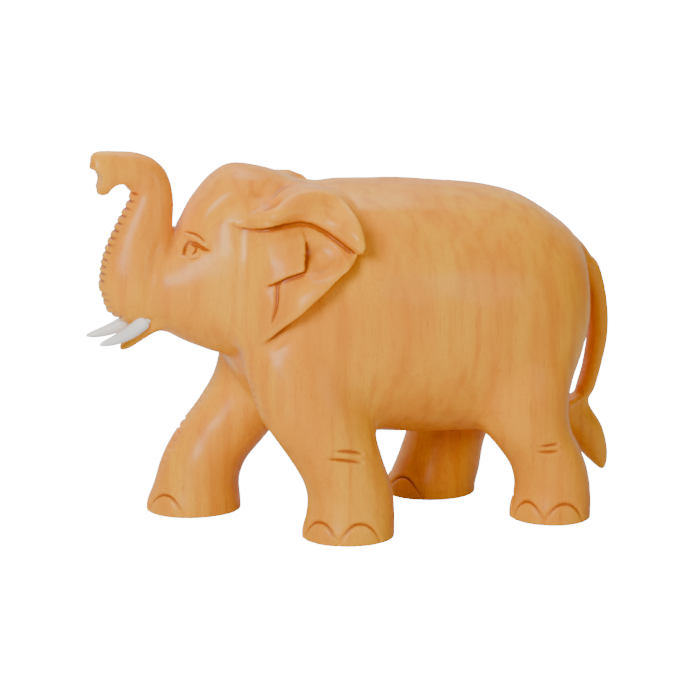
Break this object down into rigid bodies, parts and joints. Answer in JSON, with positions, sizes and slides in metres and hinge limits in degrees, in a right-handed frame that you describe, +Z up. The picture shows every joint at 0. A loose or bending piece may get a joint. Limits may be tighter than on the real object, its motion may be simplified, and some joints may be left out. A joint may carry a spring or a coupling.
{
  "type": "carved wooden elephant",
  "caption": "Walking elephant figurine carved from one block of honey-coloured wood, with a raised trunk and two white tusks glued into the mouth.",
  "frame": {"origin": "on the ground, under the middle of the outer box", "axes": "+Z up, the elephant faces -X, its left side faces -Y"},
  "size_m": [0.1508, 0.0682, 0.1046],
  "materials": {
    "lacquered_wood": "pale fine-grained hardwood, stained honey orange, under a smooth semi-gloss clear lacquer",
    "white_tusk": "smooth off-white resin, softly polished"
  },
  "bodies": {
    "root": {"carved_body": "lacquered_wood", "tusk_left": "white_tusk", "tusk_right": "white_tusk"}
  },
  "joints": []
}
